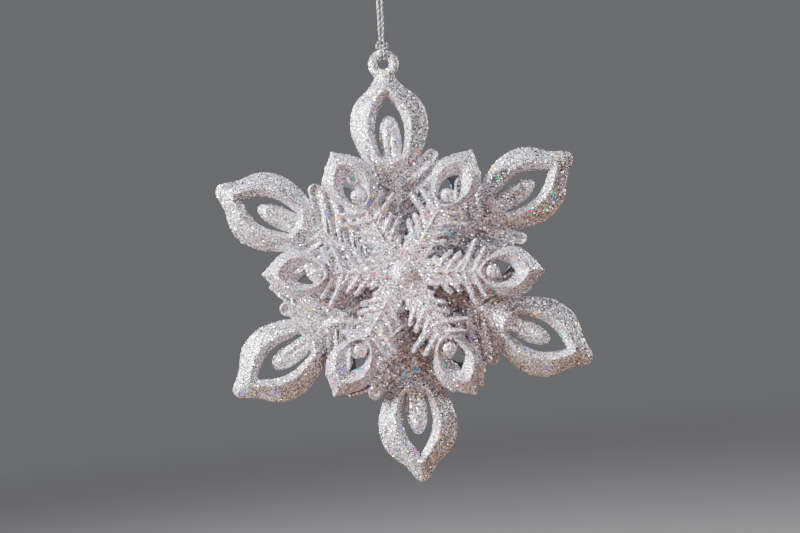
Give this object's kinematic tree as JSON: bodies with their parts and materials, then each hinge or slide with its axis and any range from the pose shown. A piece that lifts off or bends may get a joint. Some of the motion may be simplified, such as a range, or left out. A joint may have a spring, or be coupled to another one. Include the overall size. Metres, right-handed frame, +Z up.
{
  "type": "snowflake ornament",
  "caption": "Hanging layered snowflake ornament: a large hollow-petalled flake between two small fir-needle flakes on a centre pin, hung by a corded loop from an eyelet.",
  "frame": {"origin": "the hanging point: the middle of the knot's flat underside, inside the top of the cord loop", "axes": "+Z up; the flake hangs in the XZ plane and its front faces -Y; the hub's axis is parallel to Y at x = -3.498 mm, z = -148.144 mm"},
  "size_m": [0.1094, 0.0264, 0.2198],
  "materials": {
    "silver_glitter": "moulded plastic covered in fine silver glitter with sparse iridescent flakes",
    "pearl_glitter": "moulded plastic covered in fine pearly pink-white glitter with sparse iridescent flakes",
    "metallic_cord": "twisted metallic silver thread"
  },
  "bodies": {
    "loop": {"cord_loop": "metallic_cord", "cord_knot": "metallic_cord"},
    "run": {"cord_lower": "metallic_cord"},
    "hitch": {"cord_hitch": "metallic_cord"},
    "flake": {"large_snowflake": "silver_glitter", "centre_pin": "pearl_glitter", "pin_cap": "pearl_glitter"},
    "front_layer": {"front_snowflake": "pearl_glitter"},
    "back_layer": {"back_snowflake": "pearl_glitter"}
  },
  "joints": [
    {"name": "cord_twist", "type": "hinge", "parent": "loop", "child": "run", "pos_m": [-0.00288, 0, -0.06594], "axis": [0.0436, 0, 0.999], "range_deg": [-180, 180]},
    {"name": "cord_lean", "type": "hinge", "parent": "run", "child": "hitch", "pos_m": [-0.00327, 0, -0.07493], "axis": [0, 1, 0], "range_deg": [-40, 40]},
    {"name": "eyelet_swing", "type": "hinge", "parent": "hitch", "child": "flake", "pos_m": [-0.0035, 0, -0.08012], "axis": [1, 0, 0], "range_deg": [-80, 80]},
    {"name": "front_turn", "type": "hinge", "parent": "flake", "child": "front_layer", "pos_m": [-0.0035, 0, -0.14814], "axis": [0, 1, 0], "continuous": true},
    {"name": "back_turn", "type": "hinge", "parent": "flake", "child": "back_layer", "pos_m": [-0.0035, 0, -0.14814], "axis": [0, 1, 0], "continuous": true}
  ]
}
